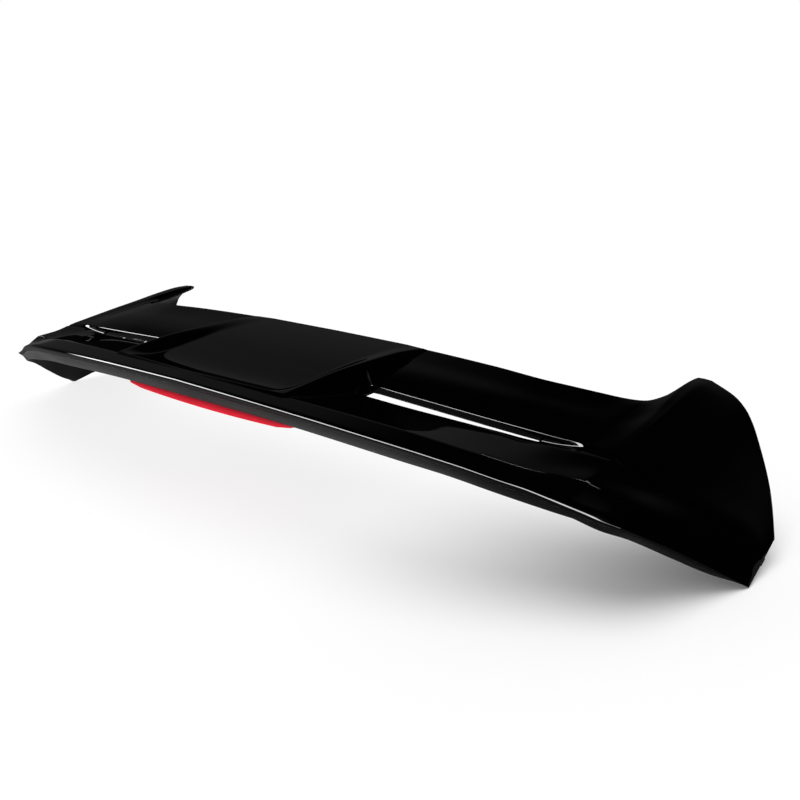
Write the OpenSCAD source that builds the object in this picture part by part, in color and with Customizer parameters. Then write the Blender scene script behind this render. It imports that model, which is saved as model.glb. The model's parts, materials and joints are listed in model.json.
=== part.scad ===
// Slotted roof spoiler for a hatchback, with end plates and a high brake lamp under its trailing edge.
// +X to the right end, +Y towards the front of the car, +Z up. Millimetres.
// The origin is the centre of the four fixing studs, on the lower face of their sealing rings.

/* [Overall form] */
// Width from end plate tip to end plate tip
width = 1200; // [1080:10:1320]
// Depth of the centre section, front edge to trailing edge
depth = 278; // [255:1:305]
// Height of the front edge above the end plate tips
rise = 173; // [160:1:190]
// Wall thickness of both shells
wall = 2.6; // [2:0.1:3.2]
// Joint of adhesive between the two shells
bond_gap = 0.2; // [0.1:0.05:0.4]
// Share of the rear face that belongs to the upper shell
seam_share = 0.3; // [0.2:0.05:0.5]

/* [Ridges and slots] */
// Half distance between the two ridges, at their outer edge
ridge_x = 152; // [130:1:175]
// Sideways run of the ridge's outer wall
ridge_draft = 6; // [4:0.5:10]
// Width of the rounded crest
crest_w = 6; // [4:0.5:10]
// Height of the panel's rear lip at the slot
lip_h = 9; // [6:0.5:11]
// End of the open slot, from the middle
slot_end_x = 388; // [360:1:400]
// Rise of the end sections above the end of the blade
end_rise = 6; // [4:0.5:7]

/* [Fixing studs] */
// Distance between the left and right studs
stud_span = 880; // [840:5:890]
// Distance between the front and rear studs
stud_pitch = 50; // [42:1:56]
// Shank diameter of a stud
stud_d = 6; // [5:1:8]
// Length of a stud below its sealing ring
stud_len = 20; // [15:1:30]
// Diameter of a stud's head
stud_head_d = 13; // [12:0.5:14]
// Thickness of a stud's head
stud_head_t = 4; // [3:0.5:5]
// Diameter of a stud's post on the lower shell
post_d = 20; // [18:0.5:24]
// Depth of the posts' lower faces below the panel's underside
seat_drop = 4; // [3:0.5:8]
// Outside diameter of a stud's sealing ring
seal_d = 18; // [15:0.5:18]
// Thickness of a stud's sealing ring
seal_t = 3; // [2:0.5:4]

/* [Brake lamp] */
// Length of the lens
lens_w = 300; // [280:2:320]
// Length of each shallow end part of the lens
lens_end_w = 25.5; // [20:0.5:30]
// Height of the lens at its middle
lens_h = 10.2; // [9:0.2:12]
// Thickness of the two end parts, which carry the screws
lens_end_t = 4; // [3:0.5:5]
// Rise of the lens's lower edge from its middle to its ends
lens_bow = 2.8; // [2:0.2:3.4]
// Wall thickness of the lens
lens_t = 2.2; // [1.8:0.1:2.6]
// Depth of the lens, rear to front
lens_depth = 32; // [28:1:36]
// Number of light-emitting diodes
led_count = 14; // [10:1:16]
// Thickness of the lamp's foam gasket
gasket_t = 2; // [1.5:0.25:3]
// Height of the lamp housing inside the spoiler
housing_h = 12; // [9:0.5:13]

/* [Tapes and clips] */
// Thickness of the foam tape
tape_t = 2; // [1:0.25:3]
// Distance between the two clips
clip_span = 220; // [180:5:250]
// Length of a clip's barbed shank
clip_len = 18; // [14:1:22]

/* [Hidden] */
$fn = 48;
scale_x = width / 1200;
scale_y = depth / 278;
scale_z = rise / 173;
fit = 0.1;
wall_x = ridge_x + ridge_draft;
shoulder_x = 476;
edge_x = 600;

// Shares of the chord line at which the lip, the nose, the crease and the trailing edge lie
lip_s = 0.40;
under_lip_s = 0.46;
nose_s = 0.50;
nose_top_s = 0.56;
crease_s = 0.84;

// Plan and height of the chord lines, as [distance from the middle, y or z above the end plate tips]
lip_y = [[0, -75], [158, -74], [240, -67], [297, -67], [341, -73], [390, -72], [444, -59], [476, -57]];
lip_z = [[0, 153], [158, 152], [240, 149], [341, 143.4], [390, 140], [444, 136.5], [476, 131]];
nose_y = [[0, -96], [158, -95], [240, -92], [322, -83], [380, -74], [444, -70], [476, -70]];
nose_z = [[0, 141], [158, 140.4], [284, 134.8], [380, 128.4], [420, 129], [476, 131]];
crease_y = [[0, -214], [150, -208], [300, -193], [375, -170], [420, -147], [450, -132], [476, -127]];
crease_z = [[0, 168], [150, 165], [300, 156], [375, 142], [420, 129], [450, 123], [476, 120]];
trail_y = [[0, -240], [150, -238], [300, -225], [375, -203], [455, -164], [476, -156.5]];
trail_z = [[0, 163], [150, 160], [300, 150], [375, 137], [455, 113.6], [476, 108.5]];
base_y = [[0, -206], [150, -203], [300, -189], [405, -170], [455, -155], [476, -147]];
base_z = [[0, 132], [150, 130], [300, 119.5], [353, 115], [405, 107.4], [455, 99], [476, 93]];

// Front edge as [station, x, y, z], from the middle out to the point of the forward horn
front = [
    [0, 0, 38, 173], [150, 150, 35, 171.8], [265, 265, 31, 169.2], [330, 330, 26.5, 166.8],
    [371, 371, 34, 163], [400, 400, 44, 158.8], [436, 436, 65, 152.5], [444, 443, 78, 151.3],
    [453, 450, 104, 152.6], [461, 454, 131, 156], [468, 457, 156, 160], [476, 476, 165, 160.3]];

// Heights along the middle and along a ridge, as [distance behind the end plate tips, z]
middle_z = [[-38, 173], [13, 173.2], [69, 171], [121, 166], [165, 162.2], [190, 163.2], [214, 168]];
ridge_z = [[-36, 172], [-10, 174.5], [13, 176], [69, 176.2], [121, 175.2], [170, 171.2], [210, 167]];

// Shape of the fall from the front edge to the lip, on the panel and on the shoulder
panel_fall = [[0, 0], [0.31, 0.27], [0.61, 0.46], [0.83, 0.7], [1, 1]];
shoulder_fall = [[0, 0], [0.12, 0], [0.3, 0.16], [0.49, 0.39], [0.84, 0.8], [1, 1]];

// Edges of the end plate as [share of its height, x, y, z]
plate_front = [
    [0, 476, 165, 160.3], [0.15, 501, 173, 145], [0.36, 525, 171.5, 119.5],
    [0.66, 555, 150, 72], [0.8, 572, 126, 50], [1, 595, 79, 23]];
plate_rear = [
    [0, 476, -156.5, 108.5], [0.12, 502, -147, 101.5], [0.27, 527, -133, 91],
    [0.5, 553, -88, 60], [0.75, 577, -44, 30], [1, 600, 0, 0]];
plate_inner_rear = [
    [0, 476, -147, 93], [0.12, 499, -137, 83], [0.27, 518, -112, 69],
    [0.5, 546, -74, 44], [0.75, 570, -36, 20], [1, 592, 2, 1]];
plate_t = 10;

// Stations from the middle to the tip, and shares along each chord line
half_stations = concat(
    [0, 60, 118, 131], [for (k = [2:-1:0]) ridge_x - k * crest_w * 0.8], [wall_x],
    [for (k = [1:5]) wall_x + k * (slot_end_x - wall_x) / 5],
    [for (k = [1:3]) slot_end_x + k * (436 - slot_end_x) / 3], [444, 453, 461, 468, shoulder_x],
    [for (k = [1:5]) shoulder_x + k * (592 - shoulder_x) / 5], [edge_x]);
stations = concat([for (k = [len(half_stations) - 1:-1:1]) -half_stations[k]], half_stations);
chord = [
    0, 0.02, 0.1, 0.19, 0.29, lip_s, 0.43, under_lip_s, nose_s, 0.53, nose_top_s,
    0.65, 0.75, crease_s, 0.935, 0.975, 1];

// Curves

function mix(a, b, t) = a + (b - a) * t;
function clamp(t) = max(0, min(1, t));
function ease(t) = let (c = clamp(t)) c * c * (3 - 2 * c);

// Row of a table that starts the stretch holding x
function row_at(table, x, i = 0) =
    i >= len(table) - 2 || x < table[i + 1][0] ? i : row_at(table, x, i + 1);

// Slope of a table's column at row k
function slope_at(table, k, col) =
    let (a = max(0, k - 1), b = min(len(table) - 1, k + 1))
    (table[b][col] - table[a][col]) / (table[b][0] - table[a][0]);

// Smooth curve through the rows of a table
function along(table, x, col = 1) =
    let (
        i = row_at(table, x),
        h = table[i + 1][0] - table[i][0],
        q = clamp((x - table[i][0]) / h),
        rise_in = slope_at(table, i, col) * h,
        rise_out = slope_at(table, i + 1, col) * h
    )
    (2 * q * q * q - 3 * q * q + 1) * table[i][col] + (q * q * q - 2 * q * q + q) * rise_in
    + (3 * q * q - 2 * q * q * q) * table[i + 1][col] + (q * q * q - q * q) * rise_out;

function point_along(table, x) = [along(table, x, 1), along(table, x, 2), along(table, x, 3)];

// Upper surface

// Share of the lip's step that is left beyond the end of the slot
function step_left(u) = 1 - ease((u - slot_end_x) / (448 - slot_end_x));

function lip_foot(u) =
    let (k = step_left(u), y = along(lip_y, u), z = along(lip_z, u))
    [
        u,
        y - 0.6 * k - (1 - k) * (y - along(nose_y, u)) / 2,
        z - lip_h * k - (z - along(nose_z, u)) * (1 - k) / 2
    ];

function nose_top(u) =
    let (y = along(nose_y, u), z = along(nose_z, u))
    [
        u, y - 7,
        z + (along(crease_z, u) - z) * 7 / (y - along(crease_y, u)) + 3 * step_left(u)
    ];

function panel_point(u, s) =
    let (
        q = s / lip_s,
        start = point_along(front, u),
        fall = mix(along(panel_fall, q), along(shoulder_fall, q), ease((u - 400) / 60))
    )
    [
        mix(start[0], u, ease(q * 1.3)),
        mix(start[1], along(lip_y, u), q),
        mix(start[2], along(lip_z, u), fall)
    ];

function lip_point(u, s) =
    let (q = (s - lip_s) / (under_lip_s - lip_s), y = along(lip_y, u), z = along(lip_z, u), foot = lip_foot(u))
    [u, mix(y, foot[1], q), mix(z, foot[2], pow(q, 1.2))];

function nose_point(u, s) =
    let (q = (s - nose_s) / (nose_top_s - nose_s), top = nose_top(u))
    [
        u, mix(along(nose_y, u), top[1], 1 - cos(q * 90)),
        mix(along(nose_z, u), top[2], sin(q * 90))
    ];

function blade_point(u, s) =
    let (q = (s - nose_top_s) / (crease_s - nose_top_s), top = nose_top(u))
    [
        u, mix(top[1], along(crease_y, u), q),
        mix(top[2], along(crease_z, u), q) - 1.5 * sin(q * 180)
    ];

// Facet behind the crease, with a rounded rear edge
function tail_point(u, s) =
    let (
        q = (s - crease_s) / (1 - crease_s),
        t = clamp((q - 0.6) / 0.4),
        back = q < 0.6 ? q / 0.75 : 0.8 * (1 - t) * (1 - t) + 2 * t * (1 - t) + t * t,
        left = q < 0.6 ? 1 - 0.6 * q : 0.64 * (1 - t) * (1 - t) + 1.1 * t * (1 - t)
    )
    [
        u, mix(along(crease_y, u), along(trail_y, u), back),
        mix(along(trail_z, u), along(crease_z, u), left)
    ];

// Share of the end section's rise that a place on the chord line has, beyond the end of the blade
function rise_share(s, v = 0) =
    ease((s - 0.62) / 0.16) * (1 - mix(ease((s - 0.78) / 0.1), ease((s - crease_s) / 0.16), ease(v / 0.1)));

// Surface of the slotted sections and of the shoulder
function side_point(u, s) =
    low_side_point(u, s) + [0, 0, end_rise * ease((u - 446) / 14) * rise_share(s)];

function low_side_point(u, s) =
    s <= lip_s ? panel_point(u, s)
    : s <= under_lip_s ? lip_point(u, s)
    : s < nose_s ? mix(lip_foot(u), [u, along(nose_y, u), along(nose_z, u)],
                       (s - under_lip_s) / (nose_s - under_lip_s))
    : s <= nose_top_s ? nose_point(u, s)
    : s <= crease_s ? blade_point(u, s)
    : tail_point(u, s);

// Surface between the ridges: a shallow trough that rises to each crest
function middle_point(u, s) =
    let (
        side = side_point(u, s),
        lead = along(front, u, 2),
        even = mix(lead, along(crease_y, u), s / crease_s),
        y = mix(even, side[1], ease((u - ridge_x + 20) / 26)),
        floor_z = along(middle_z, -y * 214 / max(-along(crease_y, u), 1)),
        crest = mix(floor_z, along(ridge_z, -y), ease((u - ridge_x + 32) / 29)),
        rounding = 3 * pow(clamp((u - ridge_x + 3) / 3), 2) * clamp((lead - y) / 30)
    )
    s > crease_s ? side : [u, y, crest - rounding];

function inner_point(u, s) =
    u <= ridge_x ? middle_point(u, s)
    : u < wall_x ? mix(middle_point(ridge_x, s), side_point(wall_x, s), (u - ridge_x) / ridge_draft)
    : side_point(u, s);

// End plate: a cubic from the shoulder down to the lower edge, fitted to the front and rear edges
function plate_span(v, s) =
    let (
        a = low_side_point(shoulder_x, s),
        b = mix(plate_front[5], plate_rear[5], s),
        lower = [b[1], b[2], b[3]],
        reach = norm(lower - a),
        w = 1 - v
    )
    w * w * w * a + 3 * w * w * v * (a + [0.3, 0, -0.2] * reach)
    + 3 * w * v * v * (lower + [-0.1, 0, 0.33] * reach) + v * v * v * lower;

function plate_point(v, s) =
    plate_span(v, s)
    + pow(1 - s, 2) * (point_along(plate_front, v) - plate_span(v, 0))
    + pow(s, 3) * (point_along(plate_rear, v) - plate_span(v, 1))
    + end_rise * exp(-pow(v / 0.35, 2)) * rise_share(s, v) * [0.2 * ease(v / 0.1), 0, 1];

function plate_share(u) = clamp((u - shoulder_x) / (edge_x - shoulder_x));

function upper_point(u, s) = u <= shoulder_x ? inner_point(u, s) : plate_point(plate_share(u), s);

// Lower surface

function under_point(u, s) =
    let (
        start = point_along(front, u),
        roof_y = along(lip_y, u) + 5,
        roof_z = along(lip_z, u) - 2 - lip_h,
        front_y = along(nose_y, u) - 1,
        front_z = along(nose_z, u) - 4,
        q = (s - nose_s) / (1 - nose_s),
        x = upper_point(u, s)[0]
    )
    s <= under_lip_s ? [
        x, mix(start[1], roof_y, s / under_lip_s),
        mix(start[2] - 4, roof_z, pow(s / under_lip_s, 0.8))
    ]
    : [
        x, mix(front_y, along(base_y, u), q),
        mix(front_z, along(base_z, u), 0.6 * ease(q * 1.6) + 0.4 * q)
    ];

function lower_point(u, s) =
    u <= shoulder_x ? under_point(u, s)
    : let (
        v = plate_share(u),
        k = ease(v * 2.2),
        shift = mix(under_point(shoulder_x, s) - upper_point(shoulder_x, s), [-plate_t, 0, 0], k),
        rear_shift = mix(under_point(shoulder_x, 1) - upper_point(shoulder_x, 1), [-plate_t, 0, 0], k)
    )
    plate_point(v, s) + shift
    + pow(s, 4) * (point_along(plate_inner_rear, v) - point_along(plate_rear, v) - rear_shift);

// Real size, and the right-hand surface mirrored to the left
function sized(u, p) = [(u < 0 ? -p[0] : p[0]) * scale_x, p[1] * scale_y, p[2] * scale_z];
function skin(u, s) = sized(u, upper_point(abs(u), s));
function belly(u, s) = sized(u, lower_point(abs(u), s));

// Reference point of the part: centre of the studs, where the car's panel meets the sealing rings
origin_y = -22 * scale_y;
origin_z = belly(stud_span / 2 / scale_x, 0.4)[2] - seat_drop - seal_t;

module placed() {
    translate([0, -origin_y, -origin_z])
        children();
}

// Shells

last_i = len(stations) - 1;
last_j = len(chord) - 1;

// True for a cell of the grid that lies in one of the two slots
function in_slot(i, j) =
    chord[j] == under_lip_s
    && min(abs(stations[i]), abs(stations[i + 1])) >= wall_x - 0.01
    && max(abs(stations[i]), abs(stations[i + 1])) <= slot_end_x + 0.01;

function empty_cell(i, j) = i < 0 || j < 0 || i >= last_i || j >= last_j || in_slot(i, j);

// True for a node of the grid on the rim of the shells or of a slot
function on_rim(i, j) =
    empty_cell(i - 1, j - 1) || empty_cell(i, j - 1) || empty_cell(i - 1, j) || empty_cell(i, j);

// True for a node beside the outer rim, where the two shells are bonded face to face
function on_flange(i, j) = on_rim(i, j) || i <= 1 || i >= last_i - 1 || j <= 1 || j >= last_j - 1;

// Share of the way to the other surface at which a shell's inner face lies
function inner_share(i, j, gap, seam) =
    let (room = max(gap, 0.01), half_bond = bond_gap / room / 2)
    on_flange(i, j) ? seam - half_bond : min(wall / room, 0.5 - half_bond);

upper_nodes = [for (u = stations) [for (s = chord) skin(u, s)]];
lower_nodes = [for (u = stations) [for (s = chord) belly(u, s)]];

// Share of the thickness, from the upper surface, at which the shells are bonded
function seam_at(j) = j >= last_j - 1 ? seam_share : 0.5;

// Sideways shift of the inner face that gives the steep wall of each ridge its thickness
function wall_shift(i, j) =
    let (u = stations[i])
    on_flange(i, j) || abs(u) < ridge_x - 0.01 || abs(u) > wall_x + 0.01 ? [0, 0, 0]
    : [-sign(u) * wall, 0, 0];

// One shell between its outer surface and an inner face that follows the other surface
module shell(outer, other, is_upper) {
    inner = [for (i = [0:last_i]) [for (j = [0:last_j])
        let (
            gap = norm(other[i][j] - outer[i][j]),
            seam = is_upper ? seam_at(j) : 1 - seam_at(j)
        )
        mix(outer[i][j], other[i][j], inner_share(i, j, gap, seam))
        + (is_upper ? wall_shift(i, j) : [0, 0, 0])]];
    row = last_j + 1;
    side = (last_i + 1) * row;
    points = concat([for (line = outer) each line], [for (line = inner) each line]);
    function at(k, i, j) = k * side + i * row + j;
    function turned(face) = !is_upper ? face : [for (k = [len(face) - 1:-1:0]) face[k]];
    function split(a, b, c, d) = [turned([a, b, c]), turned([a, c, d])];
    function square(a, b, c, d, i) = 2 * i < last_i ? split(b, c, d, a) : split(a, b, c, d);
    faces = [for (i = [0:last_i - 1], j = [0:last_j - 1]) if (!empty_cell(i, j)) each concat(
        square(at(0, i, j), at(0, i, j + 1), at(0, i + 1, j + 1), at(0, i + 1, j), i),
        square(at(1, i, j), at(1, i + 1, j), at(1, i + 1, j + 1), at(1, i, j + 1), i),
        empty_cell(i - 1, j) ? split(at(0, i, j), at(1, i, j), at(1, i, j + 1), at(0, i, j + 1)) : [],
        empty_cell(i + 1, j)
            ? split(at(1, i + 1, j), at(0, i + 1, j), at(0, i + 1, j + 1), at(1, i + 1, j + 1)) : [],
        empty_cell(i, j - 1) ? square(at(0, i, j), at(0, i + 1, j), at(1, i + 1, j), at(1, i, j), i) : [],
        empty_cell(i, j + 1)
            ? square(at(0, i, j + 1), at(1, i, j + 1), at(1, i + 1, j + 1), at(0, i + 1, j + 1), i) : []
    )];
    polyhedron(points = points, faces = faces, convexity = 8);
}

// Height of the room under the upper shell at a place of the panel
function room_top(x, y) =
    let (
        u = abs(x) / scale_x,
        lead = along(front, u, 2) * scale_y - origin_y,
        s = clamp((lead - y) / (lead - along(lip_y, u) * scale_y + origin_y)) * lip_s
    )
    skin(u, s)[2] - origin_z - wall - 3.5;

// Places of the fasteners
clip_x = clip_span / 2;
stud_x = stud_span / 2;
neck_d = stud_d - 0.4;
stud_y = stud_pitch / 2;
clip_u = clip_x / scale_x;
clip_y = belly(clip_u, 0.27)[1] - origin_y;
clip_seat = belly(clip_u, 0.27)[2] - origin_z - 3;
clip_head_d = 12;
clip_head_t = 2.5;
clip_shank_d = 6;
clip_barb_d = 9;

// Levels of the lamp, from its seat on the spoiler down to the lens
lamp_seat = along(base_z, lens_w / 2 / scale_x) * scale_z + 0.6 - origin_z;
lens_top = lamp_seat - gasket_t;
lens_rear = along(base_y, lens_w / 2 / scale_x) * scale_y + 5 - origin_y;
lens_front = lens_rear + lens_depth;
lens_bottom = lens_top - lens_h;
lens_mid_w = lens_w - 2 * lens_end_w;
ledge_w = 2.4;
flange_t = 2;
rim_t = 1.2;
flange_w = lens_mid_w - 2 * rim_t - 2 * fit;
box_w = lens_mid_w - 18;
box_rear = lens_rear + 5;
box_front = lens_front - 5;
box_top = lens_top + housing_h;
board_t = 1.6;
board_y = box_front - 2 - board_t;
led_w = 3;
led_t = 1.2;
led_z = lens_top - 1.6;
led_pitch = (box_w - 22) / (led_count - 1);
screw_x = (lens_w + lens_mid_w) / 4;
screw_y = (lens_rear + lens_front) / 2;
screw_d = 3.2;
screw_len = 14;
socket_x = 60;
socket_w = 20;
socket_d = 14;
socket_h = 10;
socket_y = screw_y + 1;

// A box from one corner to the other
module block(low, high) {
    translate(low)
        cube(high - low);
}

// A box with rounded upright corners
module rounded_block(low, high, r) {
    translate([0, 0, low[2]])
        linear_extrude(high[2] - low[2])
            for (x = [low[0] + r, high[0] - r], y = [low[1] + r, high[1] - r])
                translate([x, y])
                    circle(r, $fn = 24);
    block([low[0] + r, low[1], low[2]], [high[0] - r, high[1], high[2]]);
    block([low[0], low[1] + r, low[2]], [high[0], high[1] - r, high[2]]);
}

module at_clip(side) {
    translate([side * clip_x, clip_y, clip_seat])
        children();
}

// Solid posts that carry the studs and the clips
module posts() {
    for (x = [-stud_x, stud_x], y = [-stud_y, stud_y])
        translate([x, y, seal_t])
            cylinder(d = post_d, h = room_top(x, y) - seal_t);
    for (side = [-1, 1])
        at_clip(side)
            cylinder(d = clip_head_d + 4, h = room_top(clip_x, clip_y) - clip_seat + 1);
}

// Pockets in the posts for the heads and the shanks
module post_pockets() {
    for (x = [-stud_x, stud_x], y = [-stud_y, stud_y])
        translate([x, y, seal_t]) {
            translate([0, 0, -1])
                cylinder(d = neck_d + 2 * fit, h = 4);
            translate([0, 0, 2])
                cylinder(d = stud_head_d + 2 * fit, h = stud_head_t + fit, $fn = 6);
        }
    for (side = [-1, 1])
        at_clip(side) {
            translate([0, 0, -1])
                cylinder(d = clip_shank_d + 2 * fit, h = 3);
            translate([0, 0, 1.5])
                cylinder(d = clip_head_d + 2 * fit, h = clip_head_t + fit);
        }
}

// Flat pad with two screw bosses that carries the lamp
module lamp_pad() {
    block(
        [-lens_w / 2 - 4, lens_rear - 2, lamp_seat],
        [lens_w / 2 + 4, lens_front + 3, lamp_seat + 4]);
    for (side = [-1, 1])
        translate([side * screw_x, screw_y, lamp_seat + 3])
            cylinder(d = 9, h = 9);
}

module lamp_cuts() {
    block(
        [-lens_w / 2 - 4, lens_rear - 2, lamp_seat - 12],
        [lens_w / 2 + 4, lens_front + 3, lamp_seat]);
    block(
        [-box_w / 2 - 1, box_rear - 1, lamp_seat - 1],
        [box_w / 2 + 1, box_front + 1, lamp_seat + 6]);
    for (side = [-1, 1])
        translate([side * screw_x, screw_y, lamp_seat - 1])
            cylinder(d = screw_d + 2 * fit, h = 11);
}

module upper_shell() {
    color("#0b0b0d")
        placed()
            shell(upper_nodes, lower_nodes, true);
}

module lower_shell() {
    color("#141416")
        difference() {
            union() {
                placed()
                    shell(lower_nodes, upper_nodes, false);
                posts();
                lamp_pad();
            }
            post_pockets();
            lamp_cuts();
        }
}

// Fixing studs, each with a hexagonal head moulded into its post

module stud(x, y) {
    color("#9a9da2")
        translate([x, y, 0]) {
            rotate_extrude()
                polygon([
                    [0, -stud_len], [stud_d / 2 - 0.8, -stud_len], [stud_d / 2, 0.8 - stud_len],
                    [stud_d / 2, 0], [neck_d / 2, 0], [neck_d / 2, seal_t + 2.5], [0, seal_t + 2.5]]);
            translate([0, 0, seal_t + 2])
                cylinder(d = stud_head_d, h = stud_head_t, $fn = 6);
        }
}

module seal(x, y) {
    color("#1c1c1e")
        translate([x, y, 0])
            difference() {
                cylinder(d = seal_d, h = seal_t);
                translate([0, 0, -1])
                    cylinder(d = neck_d + 2 * fit, h = seal_t + 2);
            }
}

module stud_front_left() stud(-stud_x, stud_y);
module stud_front_right() stud(stud_x, stud_y);
module stud_rear_left() stud(-stud_x, -stud_y);
module stud_rear_right() stud(stud_x, -stud_y);
module seal_front_left() seal(-stud_x, stud_y);
module seal_front_right() seal(stud_x, stud_y);
module seal_rear_left() seal(-stud_x, -stud_y);
module seal_rear_right() seal(stud_x, -stud_y);

// Brake lamp

// Side view of the lens body: flat on top, bowed below
module lens_profile(half, low, high) {
    steps = 12;
    polygon(concat(
        [[-half, high], [half, high]],
        [for (k = [steps:-1:-steps])
            let (x = half * k / steps)
            [x, low + lens_bow * pow(x / (lens_mid_w / 2), 2)]]));
}

module lens_slab(half, low, high, rear, front_y) {
    translate([0, front_y, 0])
        rotate([90, 0, 0])
            linear_extrude(front_y - rear)
                lens_profile(half, low, high);
}

module lamp_lens() {
    color("#c4101c")
        difference() {
            union() {
                lens_slab(lens_mid_w / 2, lens_bottom, lens_top, lens_rear, lens_front);
                block(
                    [-lens_w / 2, lens_rear, lens_top - lens_end_t],
                    [lens_w / 2, lens_front, lens_top]);
            }
            lens_slab(
                lens_mid_w / 2 - ledge_w - rim_t, lens_bottom + lens_t, lens_top + 1,
                lens_rear + ledge_w, lens_front - ledge_w);
            block(
                [-flange_w / 2 - fit, lens_rear + rim_t, lens_top - flange_t],
                [flange_w / 2 + fit, lens_front - rim_t, lens_top + 1]);
            for (side = [-1, 1])
                translate([side * screw_x, screw_y, lens_top - 5])
                    cylinder(d = screw_d + 1, h = 6);
        }
}

module lamp_housing() {
    color("#161618")
        difference() {
            union() {
                block(
                    [-flange_w / 2, lens_rear + rim_t + fit, lens_top - flange_t],
                    [flange_w / 2, lens_front - rim_t - fit, lens_top]);
                block([-box_w / 2, box_rear, lens_top - flange_t], [box_w / 2, box_front, box_top]);
            }
            block(
                [-box_w / 2 + 2, box_rear + 2, lens_top - flange_t - 1],
                [box_w / 2 - 2, box_front - 2, box_top - 2]);
            for (x = [-3, 3])
                translate([socket_x + x, socket_y, box_top - 3])
                    cylinder(d = 1.2, h = 4, $fn = 24);
        }
}

module lamp_board() {
    color("#1d5a34")
        block(
            [-box_w / 2 + 4, board_y, lens_top - flange_t - 2.5],
            [box_w / 2 - 4, board_y + board_t, box_top - 2]);
}

module at_leds() {
    for (k = [0:led_count - 1])
        translate([(k - (led_count - 1) / 2) * led_pitch, board_y, led_z])
            children();
}

module lamp_leds() {
    color("#f2e9a8")
        at_leds()
            block([-led_w / 2, -led_t, -led_w / 2], [led_w / 2, 0, led_w / 2]);
}

module lamp_reflector() {
    color("#c9ccd0")
        difference() {
            block(
                [-box_w / 2 + 4, box_rear + 4, led_z - 3.1],
                [box_w / 2 - 4, board_y, led_z + 3.9]);
            at_leds()
                rotate([90, 0, 0])
                    translate([0, 0, -0.5])
                        cylinder(r1 = led_w * 0.77, r2 = 2.6, h = board_y - box_rear);
        }
}

module lamp_gasket() {
    color("#202022")
        translate([0, 0, lens_top])
            difference() {
                block(
                    [-lens_w / 2 + 1, lens_rear + 0.8, 0],
                    [lens_w / 2 - 1, lens_front - 0.8, gasket_t]);
                block([-box_w / 2 - 0.5, box_rear - 0.5, -1], [box_w / 2 + 0.5, box_front + 0.5, gasket_t + 1]);
                for (side = [-1, 1])
                    translate([side * screw_x, screw_y, -1])
                        cylinder(d = screw_d + 1, h = gasket_t + 2);
            }
}

// Connector inlet on the housing, open towards the front, with two pins
module lamp_socket() {
    color("#0d0d0f")
        difference() {
            block(
                [socket_x - socket_w / 2, socket_y - socket_d / 2, box_top],
                [socket_x + socket_w / 2, socket_y + socket_d / 2, box_top + socket_h]);
            block(
                [socket_x - socket_w / 2 + 1.5, socket_y - socket_d / 2 + 4, box_top + 1.5],
                [socket_x + socket_w / 2 - 1.5, socket_y + socket_d / 2 + 1, box_top + socket_h - 1.5]);
        }
}

module lamp_pins() {
    color("#c9a24a")
        for (x = [-3, 3])
            translate([socket_x + x, socket_y - socket_d / 2 + 4, box_top + socket_h / 2])
                rotate([-90, 0, 0])
                    cylinder(d = 1, h = 7, $fn = 24);
}

module lamp_screw(side) {
    color("#a8abb0")
        translate([side * screw_x, screw_y, lens_top - lens_end_t])
            difference() {
                rotate_extrude()
                    polygon([
                        [0, -2.4], [1.6, -2.3], [2.8, -1.8], [3.5, -0.9], [3.5, 0], [screw_d / 2, 0],
                        [screw_d / 2, screw_len - 2], [0.4, screw_len], [0, screw_len]]);
                for (turn = [0, 90])
                    rotate([0, 0, turn])
                        block([-1.7, -0.35, -3], [1.7, 0.35, -1]);
            }
}

module lamp_screw_left() lamp_screw(-1);
module lamp_screw_right() lamp_screw(1);

// Foam tapes

// Strip of tape under cells of the lower surface, between two rows of its grid
module tape(first, last, j_from, j_to, way) {
    rows = [for (i = [first:last]) [
        for (j = [j_from:j_to]) lower_nodes[i][j] + way * 0.05,
        for (j = [j_to:-1:j_from]) lower_nodes[i][j] + way * (0.05 + tape_t)]];
    n = 2 * (j_to - j_from + 1);
    count = last - first + 1;
    points = [for (line = rows) each line];
    faces = concat(
        [for (i = [0:count - 2], k = [0:n - 1])
            let (a = i * n + k, b = (i + 1) * n + k, c = (i + 1) * n + (k + 1) % n, d = i * n + (k + 1) % n)
            each (stations[first + i] < 0 ? [[a, b, d], [b, c, d]] : [[a, c, d], [a, b, c]])],
        [[for (k = [0:n - 1]) k]],
        [[for (k = [n - 1:-1:0]) (count - 1) * n + k]]);
    placed()
        polyhedron(points = points, faces = faces, convexity = 4);
}

module tape_front() {
    color("#2a2a2c")
        tape(14, last_i - 14, 1, 2, [0, 0, -1]);
}

module tape_right() {
    color("#2a2a2c")
        tape(last_i - 5, last_i - 1, 4, 5, [-1, 0, 0]);
}

module tape_left() {
    color("#2a2a2c")
        mirror([1, 0, 0])
            tape(last_i - 5, last_i - 1, 4, 5, [-1, 0, 0]);
}

// Barbed locating clips under the middle
module clip(side) {
    color("#d8d8d2")
        at_clip(side)
            rotate_extrude()
                polygon(concat(
                    [[0, 1.5 + clip_head_t], [0, -clip_len], [1.5, -clip_len]],
                    [for (k = [0:2]) each [
                        [clip_barb_d / 2 - 0.4, -clip_len + 3 + 4 * k],
                        [clip_barb_d / 2 - 0.4, -clip_len + 3.6 + 4 * k],
                        [clip_shank_d / 2 - 0.6, -clip_len + 4 + 4 * k]]],
                    [[clip_shank_d / 2, -clip_len + 13], [clip_shank_d / 2, 1.5],
                     [clip_head_d / 2, 1.5], [clip_head_d / 2, 1.5 + clip_head_t]]));
}

module clip_left() clip(-1);
module clip_right() clip(1);

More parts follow.
